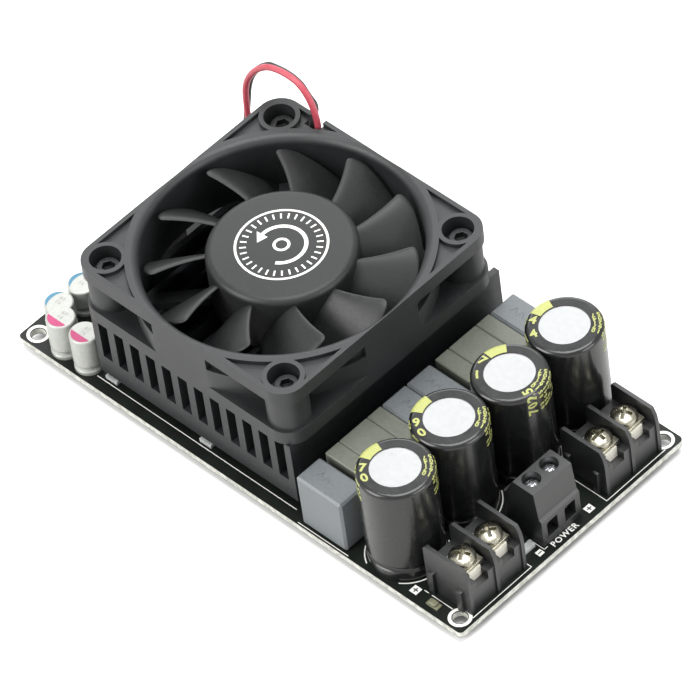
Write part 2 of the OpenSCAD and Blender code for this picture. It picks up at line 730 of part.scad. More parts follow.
module fan_header() {
    s = fan_header_size;
    color("#e6e3da") {
        translate([fan_plug_at[0] - s[0] / 2, fan_plug_at[1] - s[1] / 2, board_t]) cube(s);
        translate([fan_plug_at[0] - s[0] / 2, fan_plug_at[1] + s[1] / 2 + eps, board_t])
            cube([s[0], 0.9, s[2] + 4]);
        translate([fan_plug_at[0] - s[0] / 2, fan_plug_at[1] + s[1] / 2 - 1, board_t]) cube([s[0], 1.2, s[2]]);
        leads(fan_pins, fan_pin_top);
    }
}

module fan_plug() {
    s = fan_plug_size;
    base = board_t + fan_header_size[2];
    color("#efece4") difference() {
        translate([fan_plug_at[0] - s[0] / 2, fan_plug_at[1] - s[1] / 2, base]) cube(s);
        for (p = fan_pins) translate([p[0], p[1], base - 1])
            cylinder(r = p[2] + screw_play, h = fan_pin_top - base + 1.2);
    }
}

module fan_lead_red() {
    color("#c8303c") wire(red_route, wire_d);
}

module fan_lead_black() {
    color("#1b1b1c") wire(black_route, wire_d);
}

module audio_input_header() {
    s = audio_size;
    corner = [audio_at[0] - s[0] / 2, audio_at[1] - s[1] / 2, board_t];
    color("#e6e3da") {
        difference() {
            translate(corner) cube(s);
            translate(corner + [audio_wall, audio_wall, audio_floor])
                cube([s[0] - 2 * audio_wall, s[1] - 2 * audio_wall, s[2]]);
        }
        leads(audio_pins, board_t + s[2] - 1);
    }
}

// Capacitors

module reservoir_shape(t) {
    can_profile(reservoir_d / 2 - sleeve_t, reservoir_h, 1, 3.2, 0.45, t);
}

module reservoir_can(k) {
    color("#d8dade") {
        translate(concat(reservoir_at[k - 1], [board_t + sleeve_t])) rotate_extrude() reservoir_shape(0);
        leads([for (s = [0, 1]) reservoir_leads[2 * (k - 1) + s]], board_t + 1);
    }
}

module reservoir_sleeve(k) {
    open_r = 0.65 * reservoir_d / 2;
    foot_r = 0.85 * reservoir_d / 2;
    color("#17181a") translate(concat(reservoir_at[k - 1], [board_t + sleeve_t])) rotate_extrude() difference() {
        union() {
            reservoir_shape(sleeve_t);
            translate([0, -sleeve_t]) square([reservoir_d / 2, sleeve_t + eps]);
        }
        reservoir_shape(0);
        translate([-eps, reservoir_h / 2]) square([open_r, reservoir_h]);
        translate([-eps, -reservoir_h / 2]) square([foot_r, reservoir_h]);
    }
}

module polymer_capacitor(k) {
    color("#e9eaec") {
        translate(concat(polymer_at[k - 1], [board_t])) rotate_extrude()
            can_profile(polymer_d / 2, polymer_h[k - 1], 0.45, 1.6, 0.35, 0);
        leads([for (s = [0, 1]) polymer_leads[2 * (k - 1) + s]], board_t + 1);
    }
}

// Output row

module film_capacitor(k) {
    edge = 0.5;
    color("#7b858c") {
        translate([row_x - row_l / 2, film_y0[k - 1], board_t]) chamfer_box(row_l, film_w, film_h, edge);
        leads([for (s = [0, 1]) film_leads[2 * (k - 1) + s]], board_t + 1);
    }
}

// Ferrite core whose coil pockets open at the named seams
module ferrite_core(k, from, to, seams) {
    y0 = inductor_y0[k - 1];
    mid_z = board_t + inductor_h / 2;
    color("#6e7268") difference() {
        translate([row_x - row_l / 2, y0 + from * core_w, board_t])
            chamfer_box(row_l, (to - from) * core_w - core_seam, inductor_h, 0.25);
        for (seam = seams) translate([row_x, y0 + seam * core_w, mid_z]) rotate([90, 0, 0]) difference() {
            cylinder(r = coil_r + coil_play, h = coil_h + 2 * coil_play, center = true);
            cylinder(r = coil_r - coil_wire - coil_play, h = coil_h + 1, center = true);
        }
        for (seam = seams, s = [-1, 1])
            translate([row_x + (s * coil_lead_pitch - coil_lead_slot) / 2, y0 + seam * core_w - coil_lead_slot / 2,
                board_t - 1]) cube([coil_lead_slot, coil_lead_slot, inductor_h / 2]);
    }
}

module inductor_coils() {
    mid_z = board_t + inductor_h / 2;
    color("#a5673a") {
        for (y = coil_y) translate([row_x, y, mid_z]) rotate([90, 0, 0]) difference() {
            cylinder(r = coil_r, h = coil_h, center = true);
            cylinder(r = coil_r - coil_wire, h = coil_h + 1, center = true);
        }
        leads(coil_leads, mid_z - 2.2);
    }
}

// Barrier terminals

module barrier_wall_profile() {
    top = barrier_h;
    polygon([[0, 0], [terminal_depth, 0], [terminal_depth, 0.68 * top], [terminal_depth - 0.35, 0.86 * top],
        [terminal_depth - 1.2, top], [0.6, top], [0, top - 0.6]]);
}

module speaker_terminal(m) {
    y0 = barrier_mid[m - 1] - barrier_w / 2;
    poles = [pole_at[2 * m - 2], pole_at[2 * m - 1]];
    color("#1f2022") difference() {
        union() {
            for (k = [0:2]) translate([terminal_x0, y0 + k * barrier_pitch + barrier_wall, board_t])
                rotate([90, 0, 0]) linear_extrude(barrier_wall) barrier_wall_profile();
            translate([terminal_x0 + 0.4, y0 + eps, board_t])
                cube([terminal_depth - 0.4 - barrier_front_inset, barrier_w - 2 * eps, barrier_floor_h]);
            for (x = [1.2, terminal_depth - 3.2])
                translate([terminal_x0 + x, y0 - barrier_rib, board_t])
                    cube([barrier_rib_w, barrier_rib + 0.2, barrier_rib_h]);
        }
        for (p = poles) {
            translate([p[0], p[1], barrier_floor_z - screw_l]) cylinder(r = screw_r + lead_play, h = screw_l + 1);
            translate([p[0] + plate_front - plate_t - screw_play, p[1] - tongue_w / 2 - screw_play,
                barrier_floor_z - tongue_h - screw_play])
                cube([terminal_depth, tongue_w + 2 * screw_play, tongue_h + 1]);
            translate([contact_pin_x, p[1], 0]) cylinder(r = contact_pin_r + screw_play, h = barrier_h);
        }
    }
}

module speaker_contacts() {
    color("#c9b98e") {
        for (p = pole_at) difference() {
            union() {
                translate([p[0] - plate_back, p[1] - plate_w / 2, barrier_floor_z])
                    cube([plate_back + plate_front - plate_t + eps, plate_w, plate_t]);
                translate([p[0] + plate_front - plate_t, p[1] - tongue_w / 2, barrier_floor_z - tongue_h])
                    cube([plate_t, tongue_w, tongue_h + plate_t]);
                translate([contact_pin_x, p[1], -solder_h])
                    cylinder(r = contact_pin_r, h = barrier_floor_z + solder_h + eps);
            }
            translate([p[0], p[1], barrier_floor_z - 1]) cylinder(r = screw_r + lead_play, h = 3);
        }
    }
}

module speaker_washer(k) {
    color("#d2c7a4") translate(concat(pole_at[k - 1], [washer_z])) difference() {
        translate([-washer_w / 2, -washer_w / 2, 0]) cube([washer_w, washer_w, washer_t]);
        translate([0, 0, -1]) cylinder(r = screw_r + lead_play, h = 3);
    }
}

module speaker_screw(k) {
    color("#d9cfb0") translate(concat(pole_at[k - 1], [washer_z + washer_t])) rotate(30 * k)
        pan_screw(screw_head_r, screw_head_h, screw_r, screw_l);
}

// Power terminal

module power_profile() {
    front = power_depth - power_ledge;
    polygon([[0, 0], [power_depth, 0], [power_depth, power_ledge_h], [front, power_ledge_h + power_ledge],
        [front - power_front_lean, power_h], [power_ledge + power_shoulder, power_h],
        [power_ledge, power_shoulder_h], [0, power_shoulder_h]]);
}

module power_terminal() {
    color("#232426") difference() {
        translate([power_x0, power_y + power_w / 2, board_t]) rotate([90, 0, 0]) linear_extrude(power_w) power_profile();
        for (y = power_pole_y) {
            translate([power_screw_x - cage_l / 2 - cage_play, y - cage_w / 2 - cage_play, board_t - 1])
                cube([cage_l + 2 * cage_play, cage_w + 2 * cage_play, cavity_top - board_t + 1]);
            translate([power_screw_x, y - entry_w / 2, entry_z]) cube([power_depth, entry_w, entry_h]);
            translate([power_pin_x - power_pin_r - screw_play, y - clip_w / 2 - screw_play, board_t - 1])
                cube([power_screw_x - power_pin_x, clip_w + 2 * screw_play,
                    clip_z + clip_t + screw_play - board_t + 1]);
            translate([power_screw_x, y, cavity_top - 1]) cylinder(r = clamp_screw_r + lead_play, h = power_h);
            translate([power_screw_x, y, clamp_head_z]) cylinder(r = clamp_head_r + lead_play, h = power_h);
        }
    }
}

module power_contacts() {
    color("#c9b98e") {
        for (y = power_pole_y) {
            translate([power_pin_x - power_pin_r, y - clip_w / 2, clip_z])
                cube([power_screw_x + cage_l / 2 - power_pin_x + power_pin_r, clip_w, clip_t]);
            translate([power_pin_x - power_pin_r, y - clip_w / 2, board_t])
                cube([2 * power_pin_r, clip_w, clip_z - board_t + eps]);
        }
        leads(power_leads, board_t + eps);
    }
}

module power_cage(k) {
    color("#c4c6c9") translate([power_screw_x, power_pole_y[k - 1], cage_z]) difference() {
        translate([-cage_l / 2, -cage_w / 2, 0]) cube([cage_l, cage_w, cage_h]);
        translate([-cage_l, -cage_w / 2 + cage_wall, cage_bar])
            cube([2 * cage_l, cage_w - 2 * cage_wall, cage_h - 2 * cage_bar]);
        translate([0, 0, cage_h / 2]) cylinder(r = clamp_screw_r + screw_play, h = cage_h);
    }
}

module power_screw(k) {
    color("#c9ccd0") translate([power_screw_x, power_pole_y[k - 1], clamp_head_z])
        pan_screw(clamp_head_r, clamp_head_h, clamp_screw_r, clamp_head_z - clip_z - clip_t - screw_play);
}

circuit_board();
solder_joints();
chip_parts();
power_led();
amplifier_chip();
thermal_pad();
heatsink();
heatsink_screws();
fan_housing();
fan_bearing();
fan_stator();
fan_shaft();
fan_magnet();
fan_impeller();
fan_screws();
fan_header();
fan_plug();
fan_lead_red();
fan_lead_black();
audio_input_header();
for (k = [1:4]) {
    reservoir_can(k);
    reservoir_sleeve(k);
    polymer_capacitor(k);
    film_capacitor(k);
    speaker_washer(k);
    speaker_screw(k);
}
for (k = [1:2]) {
    ferrite_core(k, 0, 1, [1]);
    ferrite_core(k, 1, 3, [1, 3]);
    ferrite_core(k, 3, 4, [3]);
    speaker_terminal(k);
    power_cage(k);
    power_screw(k);
}
inductor_coils();
speaker_contacts();
power_terminal();
power_contacts();
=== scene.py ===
import json
import math
import bmesh
import bpy
from mathutils import Matrix, Vector


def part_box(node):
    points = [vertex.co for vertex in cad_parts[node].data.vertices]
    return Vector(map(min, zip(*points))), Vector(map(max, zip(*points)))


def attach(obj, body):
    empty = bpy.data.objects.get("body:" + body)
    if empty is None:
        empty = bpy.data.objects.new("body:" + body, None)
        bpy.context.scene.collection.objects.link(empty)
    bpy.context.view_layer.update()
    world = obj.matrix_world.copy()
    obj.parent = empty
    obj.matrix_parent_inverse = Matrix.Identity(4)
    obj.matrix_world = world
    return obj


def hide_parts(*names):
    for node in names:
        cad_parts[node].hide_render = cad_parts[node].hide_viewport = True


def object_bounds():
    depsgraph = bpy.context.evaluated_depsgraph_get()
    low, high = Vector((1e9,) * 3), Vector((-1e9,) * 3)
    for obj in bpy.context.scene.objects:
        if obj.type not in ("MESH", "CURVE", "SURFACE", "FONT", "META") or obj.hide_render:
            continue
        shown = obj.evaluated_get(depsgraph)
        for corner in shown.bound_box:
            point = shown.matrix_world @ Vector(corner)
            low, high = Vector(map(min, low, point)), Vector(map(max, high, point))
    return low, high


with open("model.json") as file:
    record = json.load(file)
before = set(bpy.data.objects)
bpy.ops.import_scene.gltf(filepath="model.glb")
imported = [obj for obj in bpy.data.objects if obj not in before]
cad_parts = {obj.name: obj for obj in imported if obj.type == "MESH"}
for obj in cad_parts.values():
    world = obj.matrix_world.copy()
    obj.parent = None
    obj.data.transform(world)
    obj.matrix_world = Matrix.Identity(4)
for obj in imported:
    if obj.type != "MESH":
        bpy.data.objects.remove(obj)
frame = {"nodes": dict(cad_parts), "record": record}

cadLow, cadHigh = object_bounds()
mm = 0.001
nodes = frame["nodes"]
record = frame["record"]
bodyOf = {n: body for body, members in record["behaviour"]["bodies"].items() for n in members}
scene = bpy.context.scene
scene.view_settings.view_transform = "Standard"


def linear(code):
    # sRGB hex to linear values
    rgb = [int(code[i:i + 2], 16) / 255 for i in (1, 3, 5)]
    return [c / 12.92 if c <= 0.04045 else ((c + 0.055) / 1.055) ** 2.4 for c in rgb]


def addNode(tree, kind, inputs=(), **settings):
    made = tree.nodes.new(kind)
    for key, value in settings.items():
        setattr(made, key, value)
    for key, value in dict(inputs).items():
        made.inputs[key].default_value = value
    return made


# Camera and light

view = {"place": (0.72949, -0.60241, 1.05049), "azimuth": 50.341, "elevation": 47.660, "roll": -8.610,
        "lens": 360, "sensor": 36, "far": 20}

azimuth, elevation, roll = (math.radians(view[key]) for key in ("azimuth", "elevation", "roll"))
forward = Vector((-math.sin(azimuth) * math.cos(elevation), math.cos(azimuth) * math.cos(elevation),
                  -math.sin(elevation)))
side = Matrix.Rotation(-roll, 3, forward) @ Vector((math.cos(azimuth), math.sin(azimuth), 0))
above = side.cross(forward)
cameraData = bpy.data.cameras.new("camera")
cameraData.lens = view["lens"]
cameraData.sensor_width = view["sensor"]
cameraData.clip_end = view["far"]
camera = bpy.data.objects.new("camera", cameraData)
camera.matrix_world = Matrix((side, above, -forward)).transposed().to_4x4()
camera.location = view["place"]
scene.collection.objects.link(camera)
scene.camera = camera

lampAim = Vector((0, 0, 0.015))
lamps = {
    "key": {"place": (-0.55, -1.50, 1.05), "size": 1.1, "watts": 33, "color": (1.0, 0.995, 0.98)},
    "top": {"place": (0.05, 0.25, 1.9), "size": 1.4, "watts": 42, "color": (1.0, 1.0, 1.0)},
    "fill": {"place": (1.9, 0.5, 0.75), "size": 1.2, "watts": 20, "color": (1.0, 1.0, 1.0)},
    "rim": {"place": (-1.24, 1.04, 1.02), "size": 0.9, "watts": 11, "color": (0.97, 0.985, 1.0)},
}
for name, lamp in lamps.items():
    data = bpy.data.lights.new(name, "AREA")
    data.size = lamp["size"]
    data.energy = lamp["watts"]
    data.color = lamp["color"]
    obj = bpy.data.objects.new(name, data)
    obj.location = lamp["place"]
    obj.rotation_euler = (lampAim - obj.location).to_track_quat("-Z", "Y").to_euler()
    scene.collection.objects.link(obj)

# the surround is white where it is seen or mirrored, and dimmer as light
surround = {"shown": 1.0, "light": 0.46}
world = bpy.data.worlds.new("surround")
world.use_nodes = True
scene.world = world
tree = world.node_tree
rays = addNode(tree, "ShaderNodeLightPath")
seen = addNode(tree, "ShaderNodeMath", operation="MAXIMUM")
seenToo = addNode(tree, "ShaderNodeMath", operation="MAXIMUM")
level = addNode(tree, "ShaderNodeMapRange", {"To Min": surround["light"], "To Max": surround["shown"]})
tree.links.new(rays.outputs["Is Camera Ray"], seen.inputs[0])
tree.links.new(rays.outputs["Is Glossy Ray"], seen.inputs[1])
tree.links.new(seen.outputs[0], seenToo.inputs[0])
tree.links.new(rays.outputs["Is Transmission Ray"], seenToo.inputs[1])
tree.links.new(seenToo.outputs[0], level.inputs["Value"])
tree.links.new(level.outputs["Result"], tree.nodes["Background"].inputs["Strength"])
tree.nodes["Background"].inputs["Color"].default_value = (1, 1, 1, 1)


# Finishes: colours are sRGB hex, scales of patterns are in 1/m on Object coordinates

coatRough = 0.12
grainMix = {"rough": 0.6, "slower": 14, "slowDetail": 2.0, "blotch": 0.35,
            "stops": (0.36, 0.64), "band": (0.35, 0.65)}


def newFinish(name, color, rough, metal=0.0, coat=0.0, specular=0.5):
    mat = bpy.data.materials.new(name)
    mat.use_nodes = True
    shader = mat.node_tree.nodes["Principled BSDF"]
    shader.inputs["Base Color"].default_value = (*linear(color), 1)
    shader.inputs["Roughness"].default_value = rough
    shader.inputs["Metallic"].default_value = metal
    shader.inputs["Coat Weight"].default_value = coat
    shader.inputs["Coat Roughness"].default_value = coatRough
    shader.inputs["Specular IOR Level"].default_value = specular
    mat.diffuse_color = (*linear(color), 1)
    return mat


def patterned(mat, stretch=(1, 1, 1)):
    tree = mat.node_tree
    where = addNode(tree, "ShaderNodeTexCoord")
    mapping = addNode(tree, "ShaderNodeMapping", {"Scale": stretch})
    tree.links.new(where.outputs["Object"], mapping.inputs["Vector"])
    return tree, tree.nodes["Principled BSDF"], mapping.outputs["Vector"]


def addNoise(tree, where, inputs):
    made = addNode(tree, "ShaderNodeTexNoise", inputs)
    tree.links.new(where, made.inputs["Vector"])
    return made.outputs["Fac"]


def addRamp(tree, source, colors, stops):
    made = addNode(tree, "ShaderNodeValToRGB")
    for k in (0, 1):
        made.color_ramp.elements[k].position = stops[k]
        made.color_ramp.elements[k].color = (*linear(colors[k]), 1)
    tree.links.new(source, made.inputs["Fac"])
    return made.outputs["Color"]


def addRelief(tree, shader, source, strength, depth):
    made = addNode(tree, "ShaderNodeBump", {"Strength": strength, "Distance": depth * mm})
    tree.links.new(source, made.inputs["Height"])
    tree.links.new(made.outputs["Normal"], shader.inputs["Normal"])


def grain(mat, dark, light, scale, roughs, bump=0.0, depth=0.02, stretch=(1, 1, 1), detail=4.0):
    # fine noise over slow blotches drives colour, roughness and relief
    tree, shader, where = patterned(mat, stretch)
    fine = addNoise(tree, where, {"Scale": scale, "Detail": detail, "Roughness": grainMix["rough"]})
    slow = addNoise(tree, where, {"Scale": scale / grainMix["slower"], "Detail": grainMix["slowDetail"]})
    both = addNode(tree, "ShaderNodeMix", {"Factor": grainMix["blotch"]}, data_type="FLOAT")
    tree.links.new(fine, both.inputs["A"])
    tree.links.new(slow, both.inputs["B"])
    mixed = both.outputs["Result"]
    tree.links.new(addRamp(tree, mixed, (dark, light), grainMix["stops"]), shader.inputs["Base Color"])
    low, high = grainMix["band"]
    band = addNode(tree, "ShaderNodeMapRange", {"From Min": low, "From Max": high,
                                                "To Min": roughs[0], "To Max": roughs[1]})
    tree.links.new(mixed, band.inputs["Value"])
    tree.links.new(band.outputs["Result"], shader.inputs["Roughness"])
    if bump:
        addRelief(tree, shader, fine, bump, depth)
    return mat


# moulded plastics and coated metal
fanPlastic = grain(newFinish("fan_plastic", "#202223", 0.5),
                   "#1d1f20", "#242627", 2600, (0.42, 0.56), 0.25, 0.03)
rotorPlastic = grain(newFinish("rotor_plastic", "#202121", 0.45, specular=0.34),
                     "#1d1e1e", "#242525", 1800, (0.38, 0.5), 0.12, 0.02)
anodised = grain(newFinish("black_anodised", "#1a1c1e", 0.45),
                 "#17191b", "#1f2224", 1400, (0.36, 0.52), 0.18, 0.02, stretch=(1, 0.05, 1))
sleeveFilm = grain(newFinish("shrink_film", "#171818", 0.2, coat=0.2, specular=0.4),
                   "#141515", "#1a1b1b", 300, (0.18, 0.28), 0.10, 0.06, detail=2.0)
terminalPlastic = grain(newFinish("terminal_plastic", "#18191a", 0.4, specular=0.7),
                        "#151617", "#1c1d1e", 2200, (0.34, 0.46), 0.2, 0.02)
nylon = grain(newFinish("white_nylon", "#e4e0d6", 0.4),
              "#dedacf", "#ebe7de", 900, (0.35, 0.48), 0.1, 0.02)
redJacket = grain(newFinish("red_jacket", "#ac424f", 0.42),
                  "#a53c49", "#b34956", 1100, (0.36, 0.48), 0.08, 0.02)
blackJacket = grain(newFinish("black_jacket", "#1c1c1d", 0.42),
                    "#191919", "#202021", 1100, (0.36, 0.48), 0.08, 0.02)

# bare metal
canBright = grain(newFinish("bright_can", "#a0a1a1", 0.35, metal=1.0),
                  "#9d9e9e", "#a3a4a4", 900, (0.33, 0.4))
canMatte = grain(newFinish("polymer_can", "#a9aba6", 0.4, metal=0.3),
                 "#a3a5a0", "#afb1ac", 1300, (0.34, 0.46), 0.05, 0.01)
warmNickel = grain(newFinish("warm_nickel", "#9b988a", 0.25, metal=1.0),
                   "#969384", "#a19e90", 1600, (0.2, 0.3), 0.03, 0.01)
coolNickel = grain(newFinish("cool_nickel", "#cdcfd1", 0.28, metal=1.0),
                   "#c7c9cb", "#d4d6d8", 1600, (0.22, 0.34), 0.03, 0.01)
tinPlate = grain(newFinish("tin_plate", "#dedbcf", 0.35, metal=0.35),
                 "#d8d5c9", "#e4e1d6", 1600, (0.3, 0.42))
zincSteel = grain(newFinish("zinc_steel", "#aeb2b6", 0.35, metal=1.0),
                  "#a2a6aa", "#bcc0c4", 1500, (0.25, 0.45), 0.1, 0.01)
blackSteel = grain(newFinish("black_steel", "#2a2b2c", 0.4, metal=0.6),
                   "#252627", "#323334", 1500, (0.3, 0.5), 0.1, 0.01)
solderTin = grain(newFinish("solder_tin", "#c2c5c8", 0.3, metal=1.0),
                  "#b4b7ba", "#d0d3d6", 1800, (0.22, 0.42), 0.15, 0.02)
bearingBrass = grain(newFinish("bearing_bronze", "#a98250", 0.4, metal=1.0),
                     "#9c7646", "#b68e5b", 2000, (0.32, 0.5), 0.15, 0.02)
copper = grain(newFinish("copper_winding", "#b0683c", 0.32, metal=1.0),
               "#a15c33", "#be7547", 1500, (0.25, 0.4), 0.2, 0.03)

# cast, pressed and fired parts
filmBox = grain(newFinish("film_box", "#666b6e", 0.42),
                "#616669", "#6b7073", 1500, (0.36, 0.5), 0.12, 0.02)
ferrite = grain(newFinish("ferrite", "#62655c", 0.48),
                "#5c5f56", "#6a6d64", 2400, (0.4, 0.6), 0.3, 0.03)
ceramic = grain(newFinish("chip_ceramic", "#b3b7b6", 0.35),
                "#a5a9a8", "#c2c6c4", 2600, (0.3, 0.45), 0.1, 0.01)
ledLens = grain(newFinish("led_lens", "#74755f", 0.25),
                "#6d6e57", "#7c7d68", 1200, (0.2, 0.3), 0.05, 0.01)
epoxy = grain(newFinish("chip_epoxy", "#1a1b1c", 0.5),
              "#171819", "#1f2021", 2600, (0.42, 0.58), 0.2, 0.02)
padGrey = grain(newFinish("pad_grey", "#76838c", 0.7),
                "#6e7b84", "#7f8c95", 1500, (0.62, 0.78), 0.15, 0.02)
magnetDark = grain(newFinish("magnet_dark", "#343436", 0.5),
                   "#2f2f31", "#3a3a3c", 2200, (0.42, 0.6), 0.15, 0.02)

# inks
whiteInk = grain(newFinish("white_ink", "#e9e9e4", 0.6), "#e0e0da", "#f0f0ec", 3000, (0.5, 0.66))
yellowInk = grain(newFinish("yellow_ink", "#a1a55f", 0.5), "#999d57", "#a9ad67", 2500, (0.42, 0.56))
pinkInk = grain(newFinish("pink_ink", "#a83465", 0.45), "#a12d5e", "#af3c6d", 1800, (0.4, 0.5))
blueInk = grain(newFinish("blue_ink", "#3b7691", 0.45), "#346f8a", "#437e99", 1800, (0.4, 0.5))
darkInk = grain(newFinish("dark_ink", "#1d2122", 0.55), "#191d1e", "#222627", 2500, (0.5, 0.62))
paleInk = grain(newFinish("pale_ink", "#9d9895", 0.5), "#96918e", "#a5a09d", 2500, (0.45, 0.56))
rubbedInk = grain(newFinish("rubbed_ink", "#4c5256", 0.5), "#464c50", "#555b5f", 2500, (0.45, 0.56))

board = {"top": 1.6, "mask": ("#131614", "#1b201c"), "maskScale": 160.0, "fibre": ("#a6a79f", "#cfcfc8"),
         "fibreScale": 900.0, "detail": 3.0, "stops": (0.35, 0.65), "coreHalf": 0.68, "roughs": (0.3, 0.75),
         "pourScale": 210.0, "pourBump": 0.12, "pourDepth": 0.05}


def boardFinish():
    mat = newFinish("solder_mask", "#0d100e", 0.35, specular=0.2)
    tree, shader, where = patterned(mat)
    split = addNode(tree, "ShaderNodeSeparateXYZ")
    tree.links.new(where, split.inputs["Vector"])
    # pale glass fibre shows between the two masked faces
    core = addNode(tree, "ShaderNodeMath", {1: board["top"] / 2 * mm, 2: board["coreHalf"] * mm},
                   operation="COMPARE")
    tree.links.new(split.outputs["Z"], core.inputs[0])
    blend = addNode(tree, "ShaderNodeMix", data_type="RGBA")
    tree.links.new(core.outputs[0], blend.inputs["Factor"])
    for layer, socket in (("mask", "A"), ("fibre", "B")):
        noise = addNoise(tree, where, {"Scale": board[layer + "Scale"], "Detail": board["detail"]})
        tree.links.new(addRamp(tree, noise, board[layer], board["stops"]), blend.inputs[socket])
    tree.links.new(blend.outputs["Result"], shader.inputs["Base Color"])
    band = addNode(tree, "ShaderNodeMapRange", {"To Min": board["roughs"][0], "To Max": board["roughs"][1]})
    tree.links.new(core.outputs[0], band.inputs["Value"])
    tree.links.new(band.outputs["Result"], shader.inputs["Roughness"])
    # copper under the mask stands a little proud, in blocks
    pour = addNode(tree, "ShaderNodeTexVoronoi", {"Scale": board["pourScale"]},
                   distance="MANHATTAN", feature="F1")
    tree.links.new(where, pour.inputs["Vector"])
    addRelief(tree, shader, pour.outputs["Distance"], board["pourBump"], board["pourDepth"])
    return mat


boardMask = boardFinish()
print("finishes:", len(bpy.data.materials))


# Building helpers

softening = {"merge": 0.001, "flat": 0.8, "angle": 32, "segments": 2, "sharp": 45}


def addPiece(name, bm, mat, body="base", sharp=40, flip=True):
    if flip:
        bmesh.ops.recalc_face_normals(bm, faces=bm.faces)
    mesh = bpy.data.meshes.new(name)
    bm.to_mesh(mesh)
    bm.free()
    mesh.materials.append(mat)
    mesh.shade_smooth()
    mesh.set_sharp_from_angle(angle=math.radians(sharp))
    obj = bpy.data.objects.new(name, mesh)
    scene.collection.objects.link(obj)
    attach(obj, body)
    return obj


def soften(name, mat, width):
    # a merged copy of the solid with its sharp edges rounded
    bm = bmesh.new()
    bm.from_mesh(nodes[name].data)
    bmesh.ops.remove_doubles(bm, verts=bm.verts, dist=softening["merge"] * mm)
    bmesh.ops.dissolve_limit(bm, angle_limit=math.radians(softening["flat"]), verts=bm.verts, edges=bm.edges)
    limit = math.radians(softening["angle"])
    sharp = [e for e in bm.edges if e.is_manifold and e.calc_face_angle(0) > limit]
    bmesh.ops.bevel(bm, geom=sharp, offset=width * mm, offset_type="OFFSET", affect="EDGES",
                    segments=softening["segments"], profile=0.5, material=-1, clamp_overlap=True)
    piece = addPiece(name + "_rounded", bm, mat, bodyOf[name], sharp=softening["sharp"], flip=False)
    weigh = piece.modifiers.new("faces", "WEIGHTED_NORMAL")
    weigh.keep_sharp = True
    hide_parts(name)
    return piece


def dress(name, mat):
    # the solid itself is shown, with a finish
    for slot in nodes[name].material_slots:
        slot.material = mat


# Fan lead: the two wires keep the routes of their solids

wireShape = {"width": 1.4, "steps": 6, "roundness": 4}
wires = {
    "fan_lead_red": {"mat": redJacket, "route": [
        (-30.9, 28.2, 23.6), (-30.9, 28.2, 30), (-30.9, 28.4, 36), (-32.8, 28.8, 40.5), (-35.7, 29, 43),
        (-39.1, 29, 43.5), (-42.4, 28.8, 43.2), (-45, 28.6, 42.1), (-47.7, 28.3, 39.7), (-49.9, 28, 36.4),
        (-50.9, 27.6, 33), (-50.9, 27.2, 29.2), (-50.6, 26.6, 22), (-50.6, 26.1, 16), (-50.6, 26, 12)]},
    "fan_lead_black": {"mat": blackJacket, "route": [
        (-32.6, 28.1, 23.6), (-32.6, 28.2, 30), (-32.6, 28.9, 34), (-32.95, 30.2, 37), (-34.4, 30.1, 39.3),
        (-36.6, 30.1, 41.7), (-40, 30.2, 42.2), (-43.2, 30.1, 42), (-45.7, 30.1, 41.1), (-48.3, 29.8, 38.8),
        (-50.5, 29.5, 35.5), (-51.6, 29.1, 32.1), (-52, 28.6, 28.3), (-52.6, 27.5, 21), (-53.1, 26.3, 16),
        (-53.1, 26, 12)]},
}


def smoothRoute(route, steps):
    # a curve through all the points, in metres
    points = [Vector(p) for p in route]
    line = []
    for i in range(len(points) - 1):
        a, b, c, d = (points[min(max(j, 0), len(points) - 1)] for j in (i - 1, i, i + 1, i + 2))
        for k in range(steps):
            t = k / steps
            line.append(0.5 * (2 * b + (c - a) * t + (2 * a - 5 * b + 4 * c - d) * t * t
                               + (3 * b - a - 3 * c + d) * t ** 3))
    return [p * mm for p in line + [points[-1]]]


plug = soften("fan_plug", nylon, 0.2)
for name, wire in wires.items():
    line = smoothRoute(wire["route"], wireShape["steps"])
    curve = bpy.data.curves.new(name + "_wire", "CURVE")
    curve.dimensions = "3D"
    curve.bevel_depth = wireShape["width"] / 2 * mm
    curve.bevel_resolution = wireShape["roundness"]
    curve.use_fill_caps = True
    spline = curve.splines.new("POLY")
    spline.points.add(len(line) - 1)
    for point, place in zip(spline.points, line):
        point.co = (*place, 1)
    curve.materials.append(wire["mat"])
    obj = bpy.data.objects.new(name + "_wire", curve)
    scene.collection.objects.link(obj)
    length = sum((b - a).length for a, b in zip(line, line[1:]))
    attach(obj, "base")
    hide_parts(name)
    print("wire:", name, round(length * 1000, 1), "mm")


# Impeller: a turned hub with a round rim, and swept blades

fanBase = Vector((-13.4, 0, 20.2)) * mm
hub = {"radius": 15.6, "top": 14.6, "bottom": 2.6, "inside": 14.2, "ceiling": 13.2, "rim": 1.6, "boss": 3.0,
       "bossFoot": 10.2, "bore": 1.5, "arc": 8, "turns": 120, "merge": 0.0005}
blade = {"count": 11, "root": 14.9, "tip": 27.9, "rootTop": 12.85, "tipTop": 14.2, "bottom": 3.3,
         "phase": 127.5, "sweep": 11, "span": 29, "thick": 1.1, "camber": 1.25, "lean": 0.72,
         "corner": 0.22, "cornerFrom": 0.8, "cornerCurve": 3, "bluntness": 4, "thinnest": 0.02,
         "tipCrowd": 1.5, "along": 20, "across": 22}


def turned(bm, profile, steps):
    # an outline of (radius, height) in mm, spun about Z
    line = [bm.verts.new((r * mm, 0, z * mm)) for r, z in profile]
    edges = [bm.edges.new(pair) for pair in zip(line, line[1:])]
    bmesh.ops.spin(bm, geom=line + edges, cent=(0, 0, 0), axis=(0, 0, 1), angle=2 * math.pi, steps=steps,
                   use_merge=True)
    bmesh.ops.remove_doubles(bm, verts=bm.verts, dist=hub["merge"] * mm)


